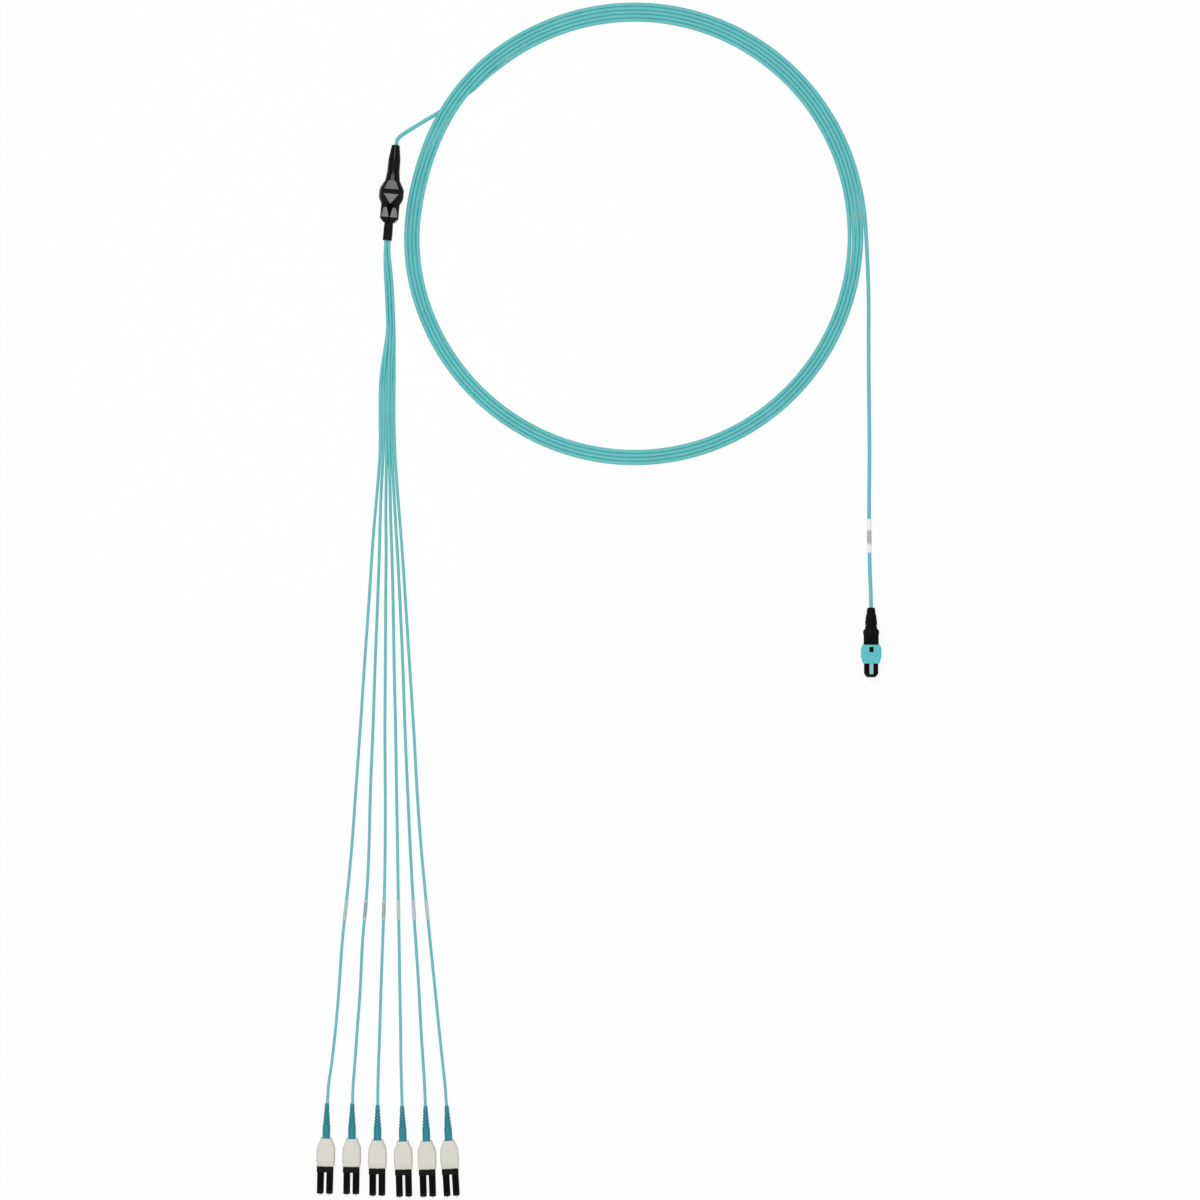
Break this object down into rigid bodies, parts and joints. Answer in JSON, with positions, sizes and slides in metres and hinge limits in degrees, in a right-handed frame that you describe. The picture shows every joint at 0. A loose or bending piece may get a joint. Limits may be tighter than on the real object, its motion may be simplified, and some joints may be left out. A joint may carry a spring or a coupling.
{
  "type": "multi-fibre connector breakout harness",
  "caption": "Multi-fibre push-on connector with its key and coupling sleeve, on a coiled aqua trunk that splits in a black breakout body into legs with twin-ferrule plugs.",
  "frame": {"origin": "on the surface, under the middle of the multi-fibre connector", "axes": "+Z up from the surface, +Y from the connector's nose towards its cable, +X to the right seen from above with +Y up"},
  "size_m": [0.3831, 0.8126, 0.012],
  "materials": {
    "aqua_jacket": "smooth satin flexible jacket",
    "aqua_sleeve": "moulded, satin",
    "key_plastic": "moulded, satin",
    "black_plastic": "moulded, fine grain",
    "breakout_plastic": "moulded, satin",
    "black_rubber": "moulded, matt",
    "ferrule_resin": "glass-filled resin with a polished end",
    "clamp_steel": "stamped",
    "crimp_metal": "crimped",
    "spring_steel": "drawn wire",
    "fibre_coating": "thin clear coating",
    "label_film": "thin translucent film",
    "teal_rubber": "moulded, satin",
    "ivory_plastic": "moulded, satin",
    "plug_plastic": "moulded, satin",
    "ceramic": "polished ceramic in a metal flange"
  },
  "bodies": {
    "harness": {"mpo_boot": "black_rubber", "mpo_crimp_ring": "crimp_metal", "mpo_rear_housing": "black_plastic", "mpo_main_spring": "spring_steel", "mpo_plug_housing": "black_plastic", "coupling_spring_left": "spring_steel", "coupling_spring_right": "spring_steel", "trunk_lead": "aqua_jacket", "trunk_coil": "aqua_jacket", "trunk_tail": "aqua_jacket", "leg_1": "aqua_jacket", "leg_2": "aqua_jacket", "leg_3": "aqua_jacket", "leg_4": "aqua_jacket", "leg_5": "aqua_jacket", "leg_6": "aqua_jacket", "breakout_boot": "black_rubber", "breakout_crimp_ring": "crimp_metal", "breakout_cap": "breakout_plastic", "breakout_body_top": "breakout_plastic", "breakout_body_base": "breakout_plastic", "breakout_tail_sleeve": "black_rubber", "breakout_fibres": "fibre_coating", "trunk_label": "label_film", "leg_labels": "label_film", "lc1_boot": "teal_rubber", "lc1_shell": "ivory_plastic", "lc1_plug": "plug_plastic", "lc2_boot": "teal_rubber", "lc2_shell": "ivory_plastic", "lc2_plug": "plug_plastic", "lc3_boot": "teal_rubber", "lc3_shell": "ivory_plastic", "lc3_plug": "plug_plastic", "lc4_boot": "teal_rubber", "lc4_shell": "ivory_plastic", "lc4_plug": "plug_plastic", "lc5_boot": "teal_rubber", "lc5_shell": "ivory_plastic", "lc5_plug": "plug_plastic", "lc6_boot": "teal_rubber", "lc6_shell": "ivory_plastic", "lc6_plug": "plug_plastic"},
    "sleeve": {"coupling_sleeve": "aqua_sleeve"},
    "ferrule": {"mt_ferrule": "ferrule_resin", "mpo_pin_clamp": "clamp_steel", "fibre_ribbon": "fibre_coating"},
    "key": {"polarity_key": "key_plastic"},
    "pin_1a": {"lc1_ferrule_a": "ceramic"},
    "pin_1b": {"lc1_ferrule_b": "ceramic"},
    "pin_2a": {"lc2_ferrule_a": "ceramic"},
    "pin_2b": {"lc2_ferrule_b": "ceramic"},
    "pin_3a": {"lc3_ferrule_a": "ceramic"},
    "pin_3b": {"lc3_ferrule_b": "ceramic"},
    "pin_4a": {"lc4_ferrule_a": "ceramic"},
    "pin_4b": {"lc4_ferrule_b": "ceramic"},
    "pin_5a": {"lc5_ferrule_a": "ceramic"},
    "pin_5b": {"lc5_ferrule_b": "ceramic"},
    "pin_6a": {"lc6_ferrule_a": "ceramic"},
    "pin_6b": {"lc6_ferrule_b": "ceramic"}
  },
  "joints": [
    {"name": "sleeve_slide", "type": "slide", "parent": "harness", "child": "sleeve", "axis": [0, 1, 0], "range_m": [0, 0.0015], "stiffness_N_per_m": 900, "springref_m": -0.001, "deforming": ["coupling_spring_left", "coupling_spring_right"]},
    {"name": "ferrule_slide", "type": "slide", "parent": "harness", "child": "ferrule", "axis": [0, 1, 0], "range_m": [0, 0.0008], "stiffness_N_per_m": 2500, "springref_m": -0.001, "deforming": ["mpo_main_spring"]},
    {"name": "key_slide", "type": "slide", "parent": "harness", "child": "key", "axis": [0, 1, 0], "range_m": [0, 0.003]},
    {"name": "pin_1a_slide", "type": "slide", "parent": "harness", "child": "pin_1a", "axis": [0.0244, 0.9997, 0], "range_m": [0, 0.0008], "stiffness_N_per_m": 1200, "springref_m": -0.001},
    {"name": "pin_1b_slide", "type": "slide", "parent": "harness", "child": "pin_1b", "axis": [0.0244, 0.9997, 0], "range_m": [0, 0.0008], "stiffness_N_per_m": 1200, "springref_m": -0.001},
    {"name": "pin_2a_slide", "type": "slide", "parent": "harness", "child": "pin_2a", "axis": [0.0105, 0.9999, 0], "range_m": [0, 0.0008], "stiffness_N_per_m": 1200, "springref_m": -0.001},
    {"name": "pin_2b_slide", "type": "slide", "parent": "harness", "child": "pin_2b", "axis": [0.0105, 0.9999, 0], "range_m": [0, 0.0008], "stiffness_N_per_m": 1200, "springref_m": -0.001},
    {"name": "pin_3a_slide", "type": "slide", "parent": "harness", "child": "pin_3a", "axis": [0.0035, 1, 0], "range_m": [0, 0.0008], "stiffness_N_per_m": 1200, "springref_m": -0.001},
    {"name": "pin_3b_slide", "type": "slide", "parent": "harness", "child": "pin_3b", "axis": [0.0035, 1, 0], "range_m": [0, 0.0008], "stiffness_N_per_m": 1200, "springref_m": -0.001},
    {"name": "pin_4a_slide", "type": "slide", "parent": "harness", "child": "pin_4a", "axis": [-0.0236, 0.9997, 0], "range_m": [0, 0.0008], "stiffness_N_per_m": 1200, "springref_m": -0.001},
    {"name": "pin_4b_slide", "type": "slide", "parent": "harness", "child": "pin_4b", "axis": [-0.0236, 0.9997, 0], "range_m": [0, 0.0008], "stiffness_N_per_m": 1200, "springref_m": -0.001},
    {"name": "pin_5a_slide", "type": "slide", "parent": "harness", "child": "pin_5a", "axis": [-0.0305, 0.9995, 0], "range_m": [0, 0.0008], "stiffness_N_per_m": 1200, "springref_m": -0.001},
    {"name": "pin_5b_slide", "type": "slide", "parent": "harness", "child": "pin_5b", "axis": [-0.0305, 0.9995, 0], "range_m": [0, 0.0008], "stiffness_N_per_m": 1200, "springref_m": -0.001},
    {"name": "pin_6a_slide", "type": "slide", "parent": "harness", "child": "pin_6a", "axis": [-0.0576, 0.9983, 0], "range_m": [0, 0.0008], "stiffness_N_per_m": 1200, "springref_m": -0.001},
    {"name": "pin_6b_slide", "type": "slide", "parent": "harness", "child": "pin_6b", "axis": [-0.0576, 0.9983, 0], "range_m": [0, 0.0008], "stiffness_N_per_m": 1200, "springref_m": -0.001}
  ]
}
